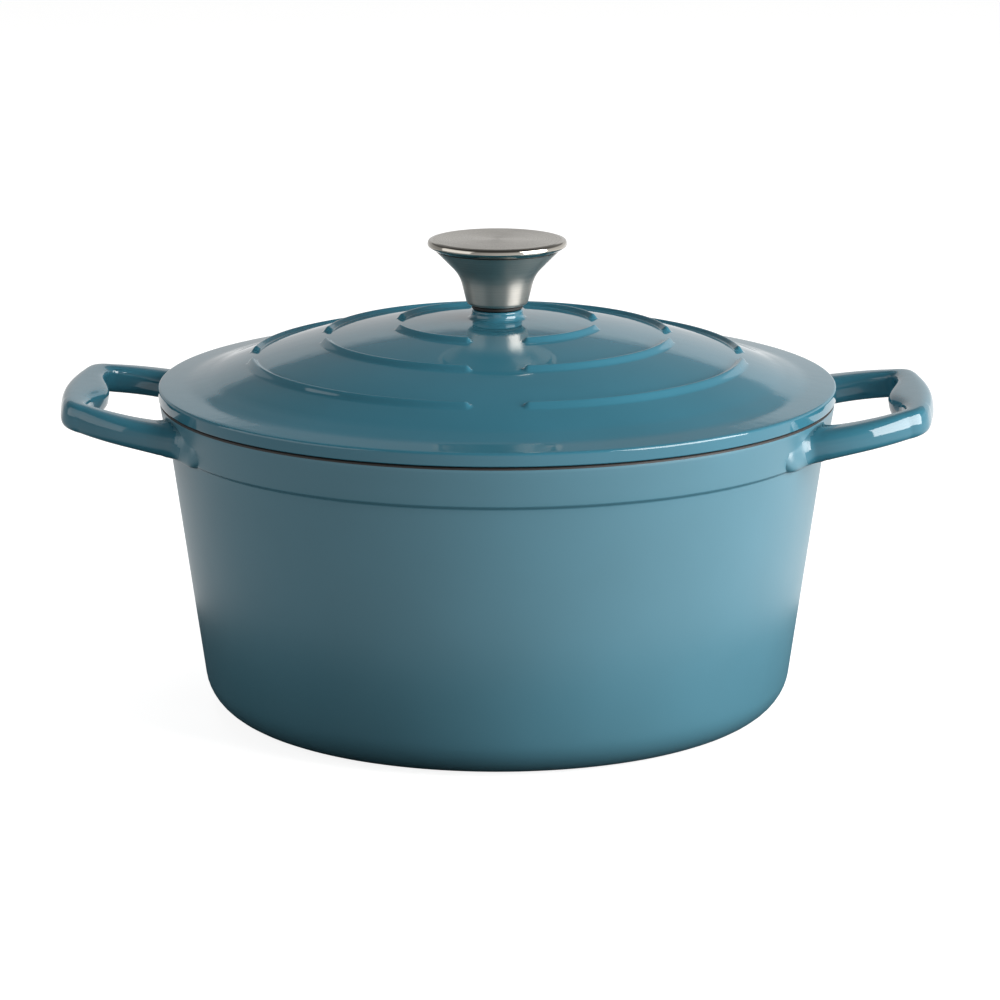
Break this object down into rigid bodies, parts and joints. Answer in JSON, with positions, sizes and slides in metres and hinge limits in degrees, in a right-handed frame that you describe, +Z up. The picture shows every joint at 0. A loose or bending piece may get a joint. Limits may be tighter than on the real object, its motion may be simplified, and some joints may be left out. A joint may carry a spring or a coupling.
{
  "type": "round cast iron dutch oven",
  "caption": "Round enamelled cast iron dutch oven with loop side handles and a domed, ribbed lid that lifts off and carries a screwed-on steel knob.",
  "frame": {"origin": "centre of the underside of the pot's base, on the surface that it stands on", "axes": "+X through the middle of the right loop handle, +Y away from the front, +Z up through the lid's knob"},
  "size_m": [0.3478, 0.27, 0.1888],
  "materials": {
    "teal_enamel": "glossy vitreous enamel over cast iron",
    "satin_steel": "satin turned stainless steel",
    "bright_steel": "circular brushed top with a polished rim",
    "zinc_steel": "bright zinc plated",
    "black_silicone": "matte moulded silicone"
  },
  "bodies": {
    "pot": {"pot": "teal_enamel"},
    "lid": {"lid": "teal_enamel", "knob_gasket": "black_silicone", "knob_shell": "satin_steel", "knob_cap": "bright_steel", "knob_bush": "zinc_steel"},
    "washers": {"flat_washer": "zinc_steel", "lock_washer": "zinc_steel"},
    "screw": {"lid_screw": "zinc_steel"}
  },
  "joints": [
    {"name": "lid_lift", "type": "slide", "parent": "pot", "child": "lid", "axis": [0, 0, 1], "range_m": [0, 0.2]},
    {"name": "screw_drop", "type": "slide", "parent": "lid", "child": "washers", "axis": [0, 0, -1], "range_m": [0, 0.008]},
    {"name": "screw_turn", "type": "hinge", "parent": "washers", "child": "screw", "pos_m": [0, 0, 0.1483], "axis": [0, 0, -1], "range_deg": [0, 2881]}
  ],
  "couplings": [
    {"joint": "screw_turn", "follows": "screw_drop", "rad_per_m": 6283.2}
  ]
}
